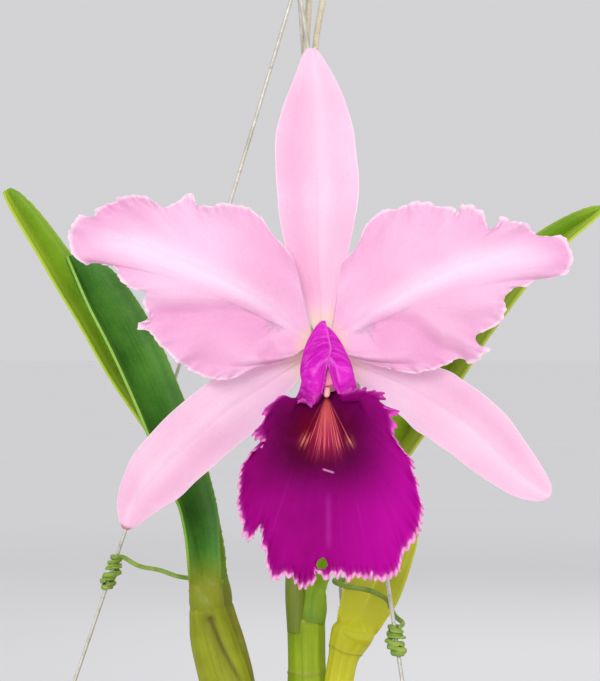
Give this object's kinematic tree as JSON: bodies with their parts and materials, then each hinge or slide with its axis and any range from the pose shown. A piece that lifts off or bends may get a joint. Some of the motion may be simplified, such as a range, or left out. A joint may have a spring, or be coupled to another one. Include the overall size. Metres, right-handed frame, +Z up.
{
  "type": "potted cattleya orchid",
  "caption": "Cattleya orchid in bloom, with leaves and bulbs in a clay pot of bark, held by a wire hanger with a hook above the flower.",
  "frame": {"origin": "centre of the pot's underside, on the surface that the pot stands on", "axes": "+Z up along the pot's axis, -Y the way the flower faces, +X to the viewer's right when looking at the flower"},
  "size_m": [0.2057, 0.1962, 0.4324],
  "materials": {
    "clay": "matte fired clay with pale lime bloom",
    "bark": "rough pine bark chips",
    "root": "matte silvery green root skin",
    "bulb": "satin ribbed bulb skin",
    "leaf": "satin thick leaf",
    "young_leaf": "satin young leaf",
    "stalk": "satin fresh stem",
    "sheath": "thin dry sheath",
    "petal": "soft pink petal with a fine sparkle",
    "lip": "velvety magenta with an orange streaked throat",
    "column": "smooth waxy pink",
    "anther": "smooth waxy cream",
    "wire": "dull galvanised wire",
    "hardware": "dull galvanised hook",
    "stake": "cream coated stake",
    "tie": "green coated tie"
  },
  "bodies": {
    "root": {"pot": "clay", "rhizome": "root", "stake_left": "stake", "stake_right": "stake", "bark_medium": "bark", "pseudobulb_left_front": "bulb", "pseudobulb_left_back": "bulb", "pseudobulb_centre": "bulb", "pseudobulb_new_growth": "young_leaf", "leaf_left_front": "leaf", "leaf_left_back": "leaf", "leaf_right": "leaf", "leaf_new_growth": "young_leaf", "flower_stalk": "stalk", "floral_sheath": "sheath", "dorsal_sepal": "petal", "lateral_sepal_left": "petal", "lateral_sepal_right": "petal", "petal_left": "petal", "petal_right": "petal", "lip": "lip", "column": "column", "anther_cap": "anther", "hanger_wire_left": "wire", "hanger_wire_front": "wire", "hanger_wire_back": "wire", "hanger_collar": "hardware", "hanger_hook": "hardware", "twist_tie_left": "tie", "twist_tie_right": "tie"}
  },
  "joints": []
}
